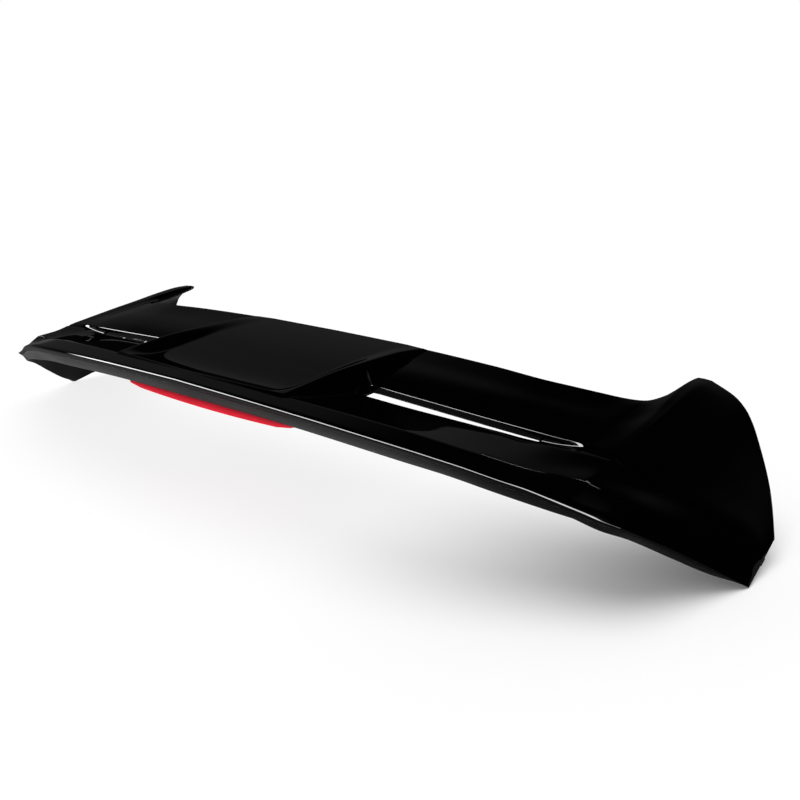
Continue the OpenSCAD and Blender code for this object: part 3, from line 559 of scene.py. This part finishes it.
@dataclass
class Skins:
    """The upper and the lower moulding, with a fine surface and rounded edges."""

    form: Form
    seam_gap: float = 0.5
    seam: float = 0.5
    rear_seam: float = 0.3
    rear_from: float = 0.974
    rim_depth: float = 2.0
    edge_r: float = 1.7
    half_stations: np.ndarray = field(
        default_factory=lambda: spaced(
            (0, 0), (116, 10), (140, 10), (152, 8), (158, 4), (164, 3), (380, 36), (388, 2), (436, 12),
            (476, 18), (512, 12), (592, 22), (597, 2), (600, 1),
        )
    )
    shares: np.ndarray = field(
        default_factory=lambda: spaced(
            (0, 0), (0.012, 1), (0.03, 1), (0.38, 20), (0.394, 1), (0.40, 1), (0.41, 1), (0.45, 2), (0.46, 1),
            (0.50, 3), (0.56, 6), (0.58, 1), (0.82, 14), (0.834, 1), (0.84, 1), (0.85, 1), (0.935, 6),
            (1.0, 9),
        )
    )

    def stations(self) -> np.ndarray:
        """Signed stations from the left tip to the right tip."""
        return np.concatenate([-self.half_stations[:0:-1], self.half_stations])

    def build_shell(self, name: str, upper: bool, material: bpy.types.Material) -> bpy.types.Object:
        """Mesh of one shell: its outer surface and the rims down to the seam.

        Args:
            name: Object's name.
            upper: True for the upper shell.
            material: Finish of the shell.

        Returns:
            The finished object.
        """
        plan, us, ss = self.form.plan, self.stations(), self.shares
        outer = self.form.placed(us, ss, upper)
        other = self.form.placed(us, ss, not upper)
        seam = np.where(ss >= self.rear_from, self.rear_seam, self.seam)
        seam = seam if upper else 1 - seam
        room = np.linalg.norm(other - outer, axis=-1)
        part = np.clip(seam[None, :] - self.seam_gap * MM / 2 / np.maximum(room, 1e-6), 0.05, 1)
        meet = mix(outer, other, part[..., None])
        ni, nj = len(us), len(ss)
        mid = (np.abs(us[:-1]) + np.abs(us[1:])) / 2
        in_slot_u = (mid > plan.wall_x) & (mid < plan.slot_end_x)
        in_slot_s = (ss[:-1] >= plan.under_lip - 1e-9) & (ss[1:] <= plan.nose + 1e-9)
        hole = in_slot_u[:, None] & in_slot_s[None, :]

        def empty(i: int, j: int) -> bool:
            """True outside the grid and in the slots."""
            return i < 0 or j < 0 or i >= ni - 1 or j >= nj - 1 or bool(hole[i, j])

        verts = [tuple(p) for p in outer.reshape(-1, 3)]
        extra: dict[tuple[int, int, int], int] = {}

        def rim(i: int, j: int, ring: int, way: tuple[int, int]) -> int:
            """Index of a rim point at the seam (ring 0) or behind it (ring 1)."""
            key = (i, j, ring)
            if key not in extra:
                point = meet[i, j]
                if ring:
                    a, b = min(max(i + way[0], 0), ni - 1), min(max(j + way[1], 0), nj - 1)
                    step = meet[a, b] - point
                    length = max(float(np.linalg.norm(step)), 1e-6)
                    point = point + step / length * self.rim_depth * MM
                extra[key] = len(verts)
                verts.append(tuple(point))
            return extra[key]

        faces, crisp = [], set()
        for i in range(ni - 1):
            for j in range(nj - 1):
                if empty(i, j):
                    continue
                a, b, c, d = i * nj + j, (i + 1) * nj + j, (i + 1) * nj + j + 1, i * nj + j + 1
                faces.append((a, b, c, d) if not upper else (d, c, b, a))
                sides = (
                    ((i, j), (i + 1, j), (0, -1), (0, 1)),
                    ((i + 1, j), (i + 1, j + 1), (1, 0), (-1, 0)),
                    ((i + 1, j + 1), (i, j + 1), (0, 1), (0, -1)),
                    ((i, j + 1), (i, j), (-1, 0), (1, 0)),
                )
                for p, q, out, way in sides:
                    if not empty(i + out[0], j + out[1]):
                        continue
                    pi, qi = p[0] * nj + p[1], q[0] * nj + q[1]
                    crisp.add((min(pi, qi), max(pi, qi)))
                    ring = [(qi, pi, rim(*p, 0, way), rim(*q, 0, way))]
                    ring.append((rim(*q, 0, way), rim(*p, 0, way), rim(*p, 1, way), rim(*q, 1, way)))
                    crisp.add(tuple(sorted((rim(*p, 0, way), rim(*q, 0, way)))))
                    faces += [f if not upper else f[::-1] for f in ring]
        mesh = bpy.data.meshes.new(name)
        mesh.from_pydata(verts, [], faces)
        mesh.validate()
        obj = add_object(name, mesh, material)
        self.round_edges(obj, crisp, upper, nj)
        return obj

    def round_edges(self, obj: bpy.types.Object, crisp: set[tuple[int, int]], upper: bool, nj: int) -> None:
        """Round the rims, the lip and the crease.

        Args:
            obj: The shell.
            crisp: Pairs of vertex numbers on the rims.
            upper: True for the upper shell, which also has the lip and the crease.
            nj: Number of shares along the chord.
        """
        mesh, plan = obj.data, self.form.plan
        us, ss = self.stations(), self.shares
        lip_j = int(np.argmin(np.abs(ss - plan.lip)))
        crease_j = int(np.argmin(np.abs(ss - plan.crease)))
        grid = len(us) * nj
        weights = np.zeros(len(mesh.edges))
        for k, edge in enumerate(mesh.edges):
            a, b = sorted(edge.vertices)
            if (a, b) in crisp:
                weights[k] = 1.0 if a < grid else 0.25
                if a < grid:
                    u = (abs(us[a // nj]) + abs(us[b // nj])) / 2
                    s = (ss[a % nj] + ss[b % nj]) / 2
                    if plan.lip < s < plan.nose_top:
                        weights[k] = 0.5 * float(np.clip((plan.slot_end_x - 4 - u) / 60, 0, 1))
                    if s > 0.999:
                        weights[k] = 0.25
            elif upper and b < grid and a % nj == b % nj:
                u = (abs(us[a // nj]) + abs(us[b // nj])) / 2
                if a % nj == lip_j and u > plan.wall_x:
                    weights[k] = 0.6 * float(1 - ease((u - 380) / 60))
                if a % nj == crease_j:
                    weights[k] = float(1 - ease((u - plan.shoulder_x) / 20))
        layer = mesh.attributes.new("bevel_weight_edge", "FLOAT", "EDGE")
        layer.data.foreach_set("value", weights)
        bevel = obj.modifiers.new("round", "BEVEL")
        bevel.limit_method = "WEIGHT"
        bevel.width = self.edge_r * MM
        bevel.segments = 3
        bevel.use_clamp_overlap = False
        bevel.harden_normals = False
        bake_modifiers(obj)

    def build(self, finish: bpy.types.Material, under: bpy.types.Material) -> list[bpy.types.Object]:
        """Both shells, each standing for its node."""
        made = [self.build_shell("upper_skin", True, finish), self.build_shell("lower_skin", False, under)]
        settle(made[0], finish.name, "upper_shell")
        settle(made[1], under.name, "lower_shell")
        return made


def add_piece(name: str, mesh: bpy.types.Mesh, material: bpy.types.Material, *nodes: str) -> bpy.types.Object:
    """Object that rides on the part and stands for the nodes.

    Args:
        name: Object's name.
        mesh: Its mesh, in the part's frame.
        material: Its finish; the slot has the same name.
        nodes: CAD nodes it stands for.

    Returns:
        The finished object.
    """
    obj = add_object(name, mesh, material)
    settle(obj, material.name, *nodes)
    return obj


def revolve(profile: list[tuple[float, float]], centre: Row, segments: int) -> Solid:
    """Surface turned about a vertical axis.

    Args:
        profile: Pairs of radius and height in millimetres, outside surface from the lower end up.
        centre: Foot of the axis, in millimetres in the part's frame.
        segments: Steps round the axis.

    Returns:
        Points in metres and faces that look outwards.
    """
    x, y, foot_z = centre
    verts = []
    for r, z in profile:
        for k in range(segments):
            a = 2 * math.pi * k / segments
            verts.append(((x + r * math.cos(a)) * MM, (y + r * math.sin(a)) * MM, (foot_z + z) * MM))
    return verts, tube_faces(len(profile), segments)


def join(parts: list[Solid]) -> Solid:
    """One list of points and faces out of several."""
    verts, faces = [], []
    for points, polys in parts:
        faces += [tuple(k + len(verts) for k in poly) for poly in polys]
        verts += points
    return verts, faces


def to_mesh(name: str, part: Solid) -> bpy.types.Mesh:
    """Mesh with merged doubles, no empty faces, and faces that look outwards."""
    mesh = bpy.data.meshes.new(name)
    mesh.from_pydata(part[0], [], part[1])
    bm = bmesh.new()
    bm.from_mesh(mesh)
    bmesh.ops.remove_doubles(bm, verts=bm.verts, dist=1e-6)
    bmesh.ops.recalc_face_normals(bm, faces=bm.faces)
    bm.to_mesh(mesh)
    bm.free()
    return mesh


@dataclass
class Fasteners:
    """Threaded studs, their seals, and the posts on the lower shell that carry studs and clips."""

    thread_pitch: float = 1.0
    thread_depth: float = 0.55
    round_steps: int = 32
    rows_per_turn: int = 8
    shank_r: float = 3.0
    chamfer: float = 1.4
    hole_r: float = 2.9
    post_r: float = 10.0
    post_edge: float = 0.6
    front_post_top: float = 17.0
    rear_post_top: float = 10.6
    clip_post_r: float = 8.0
    clip_hole_r: float = 3.1
    clip_post_h: float = 12.0
    clip_seat: float = 4.0
    seal_edge: float = 0.7

    def thread(self, x: float, y: float, low: float) -> Solid:
        """Threaded shank from its chamfered end up to the seal."""
        n, r, high = self.round_steps, self.shank_r, 0.0
        rows = int((high - low) / self.thread_pitch * self.rows_per_turn)
        verts = []
        for i in range(rows + 1):
            z = low + (high - low) * i / rows
            limit = min(r, r - self.chamfer + (z - low))
            for k in range(n):
                phase = (z / self.thread_pitch - k / n) % 1.0
                ridge = r - self.thread_depth * abs(2 * phase - 1)
                a = 2 * math.pi * k / n
                q = min(ridge, limit)
                verts.append(((x + q * math.cos(a)) * MM, (y + q * math.sin(a)) * MM, z * MM))
        return verts, closed_faces(rows + 1, n)

    def build(self, finish: dict[str, bpy.types.Material]) -> list[bpy.types.Object]:
        """Studs and seals, each at its CAD node's place."""
        made, steel, foam = [], finish["zinc_steel"], finish["foam_rubber"]
        for where in ("front_left", "front_right", "rear_left", "rear_right"):
            low, high = box_mm(f"stud_{where}")
            centre = foot(low, high)
            seal_low, seal_high = box_mm(f"seal_{where}")
            seal_r, seal_t = (seal_high[0] - seal_low[0]) / 2, seal_high[2]
            shank = self.thread(centre[0], centre[1], low[2])
            core = [(0, -0.1), (2.8, -0.1), (2.8, seal_t + 0.1), (0, seal_t + 0.1)]
            stud = to_mesh("stud", join([shank, revolve(core, centre, self.round_steps)]))
            made.append(add_piece(f"threaded_stud_{where}", stud, steel, f"stud_{where}"))
            soft, turns = self.seal_edge, np.linspace(0, math.pi / 2, 6)
            corner = [(seal_r - soft + soft * math.sin(a), soft - soft * math.cos(a)) for a in turns]
            ring = [(2.9, 0.3), (3.2, 0)] + corner + [(r, seal_t - z) for r, z in reversed(corner)]
            ring += [(3.2, seal_t), (2.9, seal_t - 0.3), (2.9, 0.3)]
            seal = to_mesh("seal", revolve(ring, centre, 64))
            made.append(add_piece(f"foam_seal_{where}", seal, foam, f"seal_{where}"))
        return made

    def post(self, node: str, seat: float, hole_r: float, r: float, top: float) -> Solid:
        """Post on a node's axis, with a hole and a chamfered foot.

        Args:
            node: Stud or clip that the post carries.
            seat: Height of the post's foot.
            hole_r: Radius of the hole in the foot.
            r: Radius of the post.
            top: Height of its closed upper end.

        Returns:
            Points in metres and faces.
        """
        edge = self.post_edge
        shape = [(hole_r, seat + 1), (hole_r, seat), (r - edge, seat), (r, seat + edge), (r, top), (0, top)]
        return revolve(shape, foot(*box_mm(node)), 64)

    def posts(self) -> list[Solid]:
        """Posts under the lower shell for the studs and the clips."""
        made = []
        for end, top in (("front", self.front_post_top), ("rear", self.rear_post_top)):
            for side in ("left", "right"):
                seat = box_mm(f"seal_{end}_{side}")[1][2]
                made.append(self.post(f"stud_{end}_{side}", seat, self.hole_r, self.post_r, top))
        for side in ("left", "right"):
            seat = box_mm(f"clip_{side}")[1][2] - self.clip_seat
            top = seat + self.clip_post_h
            made.append(self.post(f"clip_{side}", seat, self.clip_hole_r, self.clip_post_r, top))
        return made


def rounded_plate(low: np.ndarray, high: np.ndarray, r: float) -> Solid:
    """Closed plate with rounded upright corners and softened edges.

    Args:
        low: Lower corner, in millimetres.
        high: Upper corner, in millimetres.
        r: Radius of the upright corners.

    Returns:
        Points in metres and faces.
    """
    steps, soft = 8, 0.5
    rows = [(soft, low[2]), (0.0, low[2] + soft), (0.0, high[2] - soft), (soft, high[2])]
    left, right, rear, front = low[0] + r, high[0] - r, low[1] + r, high[1] - r
    verts = []
    for inset, z in rows:
        for cx, cy, start in ((right, front, 0), (left, front, 90), (left, rear, 180), (right, rear, 270)):
            for k in range(steps + 1):
                a, reach = math.radians(start + 90 * k / steps), r - inset
                verts.append(((cx + reach * math.cos(a)) * MM, (cy + reach * math.sin(a)) * MM, z * MM))
    return verts, closed_faces(len(rows), 4 * (steps + 1))


@dataclass
class BrakeLamp:
    """High brake lamp: outer form of the red lens and the diodes behind it."""

    seam_x: float = 124.5
    seam_w: float = 0.6
    bow: float = 2.8
    end_t: float = 3.4
    corner_r: float = 1.6
    corner_steps: int = 4
    groove: float = 0.35
    diode_count: int = 14
    dome_rings: int = 5
    dome_steps: int = 20

    def section(self, x: float, low: np.ndarray, high: np.ndarray) -> list[Row]:
        """Closed section of the lens at x, as a loop of points in millimetres."""
        mid_low = low[2] + self.bow * (min(abs(x), self.seam_x) / self.seam_x) ** 2
        share = np.clip((abs(x) - self.seam_x) / (high[0] - self.seam_x), 0, 1)
        bottom = mid_low + (high[2] - self.end_t - mid_low) * share**0.9
        tip = math.sqrt(max(1 - max(share - 0.75, 0) ** 2 * 14, 0.02))
        inset = self.groove if abs(abs(x) - self.seam_x) < self.seam_w / 2 else 0.0
        depth = (high[1] - low[1]) / 2 * tip - inset
        centre = (high[1] + low[1]) / 2
        bottom += inset
        r = min(self.corner_r, (high[2] - bottom) / 2.2)
        turns = [math.pi / 2 * k / self.corner_steps for k in range(self.corner_steps + 1)]
        loop = [(x, centre - depth, high[2])]
        loop += [(x, centre - depth + r - r * math.cos(a), bottom + r - r * math.sin(a)) for a in turns]
        loop += [(x, centre + depth - r + r * math.sin(a), bottom + r - r * math.cos(a)) for a in turns]
        return loop + [(x, centre + depth, high[2])]

    def lens_mesh(self) -> bpy.types.Mesh:
        """Lens with a bowed lower edge, shallow ends, a groove at each seam and rounded corners."""
        low, high = box_mm("lamp_lens")
        seam, w = self.seam_x, self.seam_w
        edges = [seam - w / 2, seam - 0.29, seam + 0.29, seam + w / 2]
        half = np.concatenate([spaced((0, 0), (seam - w, 40)), edges, spaced((seam + w, 0), (high[0], 14))])
        xs = np.concatenate([-half[:0:-1], half])
        loops = [self.section(float(x), low, high) for x in xs]
        n = len(loops[0])
        verts = [tuple(v * MM for v in point) for loop in loops for point in loop]
        ends = [tuple(range(n)), tuple((len(xs) - 1) * n + k for k in range(n))[::-1]]
        return to_mesh("lens", (verts, tube_faces(len(xs), n) + ends))

    def diode_mesh(self, width: float, depth: float) -> bpy.types.Mesh:
        """One diode: a housing with softened edges and a domed lens towards the rear."""
        w, d = width / 2, depth
        plan = ((-1, -1), (1, -1), (1, 1), (-1, 1))
        body = [(x * w, -y * d * 0.6, z * w) for y in (0, 1) for x, z in plan]
        boxes = [(0, 1, 2, 3), (7, 6, 5, 4), (0, 4, 5, 1), (1, 5, 6, 2), (2, 6, 7, 3), (3, 7, 4, 0)]
        verts = [tuple(c * MM for c in point) for point in body]
        rings, n, r = self.dome_rings, self.dome_steps, w * 0.8
        start = len(verts)
        for i in range(rings):
            a = math.pi / 2 * i / rings
            for k in range(n):
                b = 2 * math.pi * k / n
                verts.append((r * math.cos(a) * math.cos(b) * MM, -(d * 0.6 + d * 0.38 * math.sin(a)) * MM,
                              r * math.cos(a) * math.sin(b) * MM))
        tip = tuple(start + (rings - 1) * n + k for k in range(n))
        return to_mesh("diode", (verts, boxes + tube_faces(rings, n, start) + [tip]))

    def diodes(self, finish: bpy.types.Material) -> bpy.types.Object:
        """Row of diodes, repeated by a node tree along the board."""
        low, high = box_mm("lamp_leds")
        width, count = high[2] - low[2], self.diode_count
        pitch = (high[0] - low[0] - width) / (count - 1)
        template = bpy.data.objects.new("diode", self.diode_mesh(width, high[1] - low[1]))
        start = ((low[0] + width / 2) * MM, high[1] * MM, (low[2] + high[2]) / 2 * MM)
        tree = row_tree(template, finish)
        obj = bpy.data.objects.new("diode_row", bpy.data.meshes.new("diode_row"))
        bpy.context.collection.objects.link(obj)
        modifier = obj.modifiers.new("row", "NODES")
        modifier.node_group = tree
        values = {"Count": count, "Start": start, "Step": (pitch * MM, 0.0, 0.0)}
        for item in tree.interface.items_tree:
            if item.item_type == "SOCKET" and item.in_out == "INPUT" and item.name in values:
                modifier[item.identifier] = values[item.name]
        bake_modifiers(obj)
        obj.data.polygons.foreach_set("use_smooth", [True] * len(obj.data.polygons))
        settle(obj, finish.name, "lamp_leds")
        bpy.data.objects.remove(template)
        return obj

    def build(self, finish: dict[str, bpy.types.Material]) -> list[bpy.types.Object]:
        """Lens and diodes."""
        lens = add_piece("moulded_lens", self.lens_mesh(), finish["red_lens"], "lamp_lens")
        return [lens, self.diodes(finish["led_resin"])]


def row_tree(template: bpy.types.Object, finish: bpy.types.Material) -> bpy.types.NodeTree:
    """Node tree that sets copies of an object along a line.

    Args:
        template: Object that is repeated.
        finish: Its material.

    Returns:
        The tree, with the inputs Count, Start and Step.
    """
    tree = bpy.data.node_groups.new("row", "GeometryNodeTree")
    tree.interface.new_socket("Count", in_out="INPUT", socket_type="NodeSocketInt")
    tree.interface.new_socket("Start", in_out="INPUT", socket_type="NodeSocketVector")
    tree.interface.new_socket("Step", in_out="INPUT", socket_type="NodeSocketVector")
    tree.interface.new_socket("Geometry", in_out="OUTPUT", socket_type="NodeSocketGeometry")
    nodes, links = tree.nodes, tree.links
    given, out = nodes.new("NodeGroupInput"), nodes.new("NodeGroupOutput")
    line = nodes.new("GeometryNodeMeshLine")
    links.new(given.outputs["Count"], line.inputs["Count"])
    links.new(given.outputs["Start"], line.inputs["Start Location"])
    links.new(given.outputs["Step"], line.inputs["Offset"])
    info = nodes.new("GeometryNodeObjectInfo")
    info.inputs["Object"].default_value = template
    place = nodes.new("GeometryNodeInstanceOnPoints")
    links.new(line.outputs["Mesh"], place.inputs["Points"])
    links.new(info.outputs["Geometry"], place.inputs["Instance"])
    real = nodes.new("GeometryNodeRealizeInstances")
    links.new(place.outputs["Instances"], real.inputs["Geometry"])
    paint = nodes.new("GeometryNodeSetMaterial")
    paint.inputs["Material"].default_value = finish
    links.new(real.outputs["Geometry"], paint.inputs["Geometry"])
    links.new(paint.outputs["Geometry"], out.inputs["Geometry"])
    return tree


@dataclass
class Fittings:
    """What the lower shell carries below it: posts for studs and clips, and the pad of the lamp."""

    fasteners: Fasteners
    pad_t: float = 4.0
    pad_r: float = 4.0
    pad_end: float = 5.0
    pad_rear: float = 2.8
    pad_front: float = 3.8

    def build(self, finish: bpy.types.Material) -> bpy.types.Object:
        """One object that stands, with the lower skin, for the lower shell."""
        low, high = box_mm("lamp_gasket")
        start = np.array([low[0] - self.pad_end, low[1] - self.pad_rear, high[2]])
        stop = np.array([high[0] + self.pad_end, high[1] + self.pad_front, high[2] + self.pad_t])
        parts = self.fasteners.posts() + [rounded_plate(start, stop, self.pad_r)]
        return add_piece("lower_fittings", to_mesh("fittings", join(parts)), finish, "lower_shell")


def smooth_step(
    tree: bpy.types.NodeTree, value: bpy.types.NodeSocket, start: float, stop: float
) -> bpy.types.NodeSocket:
    """Socket that rises smoothly from 0 at start to 1 at stop."""
    span = tree.nodes.new("ShaderNodeMapRange")
    span.interpolation_type = "SMOOTHSTEP"
    span.inputs["From Min"].default_value = start
    span.inputs["From Max"].default_value = stop
    tree.links.new(value, span.inputs["Value"])
    return span.outputs["Result"]


def between(
    tree: bpy.types.NodeTree, share: bpy.types.NodeSocket, low: float, high: float
) -> bpy.types.NodeSocket:
    """Socket that goes from low to high as the share goes from 0 to 1."""
    span = tree.nodes.new("ShaderNodeMapRange")
    span.inputs["To Min"].default_value = low
    span.inputs["To Max"].default_value = high
    tree.links.new(share, span.inputs["Value"])
    return span.outputs["Result"]


def combine(
    tree: bpy.types.NodeTree, operation: str, *values: bpy.types.NodeSocket | float
) -> bpy.types.NodeSocket:
    """Result of a Math node that is fed with sockets and numbers."""
    node = tree.nodes.new("ShaderNodeMath")
    node.operation = operation
    for socket, value in zip(node.inputs, values):
        if isinstance(value, bpy.types.NodeSocket):
            tree.links.new(value, socket)
        else:
            socket.default_value = value
    return node.outputs[0]


def along(tree: bpy.types.NodeTree, direction: bpy.types.NodeSocket, axis: Row) -> bpy.types.NodeSocket:
    """Length of a direction along an axis."""
    dot = tree.nodes.new("ShaderNodeVectorMath")
    dot.operation = "DOT_PRODUCT"
    dot.inputs[1].default_value = axis
    tree.links.new(direction, dot.inputs[0])
    return dot.outputs["Value"]


@dataclass(frozen=True)
class Studio:
    """Camera, floor and lights. Levels are in units of the white that the camera sees."""

    eye: tuple[float, float, float] = (907.8, -929.8, 478.6)
    pitch: float = 17.0
    heading: tuple[float, float] = (-0.6363, 0.7715)
    lens: float = 45.0
    floor_size: float = 12.0
    floor_gap: float = 0.0004
    floor_albedo: float = 0.9
    floor_glow: float = 1.03
    room_level: float = 0.62
    bright_way: tuple[float, float] = (-0.6363, 0.7715)
    bright_level: float = 0.5
    dark_level: float = 0.0
    dark_above: tuple[float, float] = (0.38, 0.68)
    ahead_from: float = 0.3
    ahead_to: float = 0.7
    sun_angle: float = 60.0
    sun_strength: float = 1.6
    shade_from: float = 0.15
    shade_to: float = 0.6
    shade_share: tuple[float, float] = (0.2, 0.97)
    behind: tuple[float, float] = (-0.1, -0.7)
    behind_level: float = 4.0
    strip_level: float = 200.0
    strip_pole: tuple[float, float, float] = (-0.032, 0.734, 0.679)
    strip_mid: tuple[float, float, float] = (-0.2, -0.74, 0.642)
    strip_half: tuple[float, float] = (0.3, 0.22)
    strip_reach: tuple[float, float] = (0.55, 0.62)

    def build_camera(self) -> None:
        """Camera at the photograph's place."""
        data = bpy.data.cameras.new("camera")
        data.lens = self.lens
        data.sensor_width = 36.0
        data.clip_end = 50.0
        camera = bpy.data.objects.new("camera", data)
        bpy.context.collection.objects.link(camera)
        camera.location = Vector((np.array(self.eye) - ORIGIN) * MM)
        tilt = math.radians(self.pitch)
        level = math.cos(tilt)
        forward = Vector((self.heading[0] * level, self.heading[1] * level, -math.sin(tilt)))
        camera.rotation_euler = forward.to_track_quat("-Z", "Y").to_euler()
        bpy.context.scene.camera = camera

    def build_floor(self) -> None:
        """Pale floor that glows for every ray and takes more of the object's shadow towards the right end."""
        mesh = bpy.data.meshes.new("floor")
        bm = bmesh.new()
        bmesh.ops.create_grid(bm, x_segments=2, y_segments=2, size=self.floor_size)
        bm.to_mesh(mesh)
        bm.free()
        material, shader = new_material("floor")
        tree = material.node_tree
        nodes, links = tree.nodes, tree.links
        shader.inputs["Base Color"].default_value = (*(self.floor_albedo,) * 3, 1)
        shader.inputs["Roughness"].default_value = 1.0
        shader.inputs["Specular IOR Level"].default_value = 0.0
        glow = nodes.new("ShaderNodeEmission")
        glow.inputs["Strength"].default_value = self.floor_glow
        coords = nodes.new("ShaderNodeTexCoord")
        split = nodes.new("ShaderNodeSeparateXYZ")
        links.new(coords.outputs["Object"], split.inputs[0])
        near = smooth_step(tree, split.outputs["X"], self.shade_from, self.shade_to)
        mixed = nodes.new("ShaderNodeMixShader")
        links.new(between(tree, near, *self.shade_share), mixed.inputs[0])
        links.new(glow.outputs[0], mixed.inputs[1])
        links.new(shader.outputs[0], mixed.inputs[2])
        links.new(mixed.outputs[0], nodes["Material Output"].inputs["Surface"])
        floor = bpy.data.objects.new("floor", mesh)
        floor.location.z = CAD_BOX[0][2] - self.floor_gap
        bpy.context.collection.objects.link(floor)
        mesh.materials.append(material)

    def build_world(self) -> None:
        """White to the camera and plain room light for the surfaces.

        Mirrors see a dark room: grey low down where the camera looks, a soft glow behind it, and the strip.
        """
        world = bpy.data.worlds.new("world")
        bpy.context.scene.world = world
        world.use_nodes = True
        tree = world.node_tree
        nodes, links = tree.nodes, tree.links
        background = nodes["Background"]
        background.inputs["Color"].default_value = (1, 1, 1, 1)
        way = nodes.new("ShaderNodeTexCoord").outputs["Generated"]
        split = nodes.new("ShaderNodeSeparateXYZ")
        links.new(way, split.inputs[0])
        facing = along(tree, way, (*self.bright_way, 0.0))
        ahead = smooth_step(tree, facing, self.ahead_from, self.ahead_to)
        below = smooth_step(tree, split.outputs["Z"], self.dark_above[1], self.dark_above[0])
        lit = between(tree, combine(tree, "MULTIPLY", ahead, below), self.dark_level, self.bright_level)
        lit = combine(tree, "MULTIPLY_ADD", smooth_step(tree, facing, *self.behind), self.behind_level, lit)
        lit = combine(tree, "MULTIPLY_ADD", self.strip_share(tree, way), self.strip_level, lit)
        path = nodes.new("ShaderNodeLightPath")
        mirror = nodes.new("ShaderNodeMix")
        mirror.inputs["A"].default_value = self.room_level
        links.new(path.outputs["Is Glossy Ray"], mirror.inputs["Factor"])
        links.new(lit, mirror.inputs["B"])
        direct = nodes.new("ShaderNodeMix")
        direct.inputs["B"].default_value = 1.0
        links.new(path.outputs["Is Camera Ray"], direct.inputs["Factor"])
        links.new(mirror.outputs["Result"], direct.inputs["A"])
        links.new(direct.outputs["Result"], background.inputs["Strength"])

    def strip_share(self, tree: bpy.types.NodeTree, way: bpy.types.NodeSocket) -> bpy.types.NodeSocket:
        """Share of a long strip light, left of the camera and behind it, that the rounded edges mirror.

        Args:
            tree: Node tree of the world.
            way: Socket that gives the direction.

        Returns:
            Socket with 1 inside the strip and 0 outside it.
        """
        off = combine(tree, "ABSOLUTE", along(tree, way, self.strip_pole))
        across = smooth_step(tree, off, *self.strip_half)
        reach = smooth_step(tree, along(tree, way, self.strip_mid), *self.strip_reach)
        return combine(tree, "MULTIPLY", across, reach)

    def build_sun(self) -> None:
        """Wide overhead light that gives the floor its shadow and that no mirror shows."""
        data = bpy.data.lights.new("overhead", "SUN")
        data.energy = self.sun_strength
        data.angle = math.radians(self.sun_angle)
        sun = bpy.data.objects.new("overhead", data)
        bpy.context.collection.objects.link(sun)
        sun.visible_glossy = False

    def build(self) -> None:
        """Everything around the object."""
        self.build_camera()
        self.build_floor()
        self.build_world()
        self.build_sun()


def main() -> None:
    """Build the dressed spoiler and its studio."""
    logging.basicConfig(level=logging.INFO, format="%(name)s %(message)s")
    scene = bpy.context.scene
    scene.view_settings.view_transform = "Standard"
    Studio().build()
    for plain in bpy.data.materials:
        plain.name = f"cad_{plain.name}"
    finish = {kind.name: kind.build() for kind in FINISHES}
    fasteners = Fasteners()
    pieces = Skins(Form(Plan())).build(finish["gloss_black"], finish["satin_black"])
    pieces += fasteners.build(finish)
    pieces.append(Fittings(fasteners).build(finish["satin_black"]))
    pieces += BrakeLamp().build(finish)
    for piece in pieces:
        LOG.info("%s: %d faces", piece.name, len(piece.data.polygons))
    slots = {part["node"]: part["material_slot"] for part in frame["record"]["subparts"]}
    for name, node in frame["nodes"].items():
        node.data.materials.clear()
        node.data.materials.append(finish[slots[name]])
        LOG.info("%s: %s", name, slots[name])


if __name__ == "__main__":
    main()
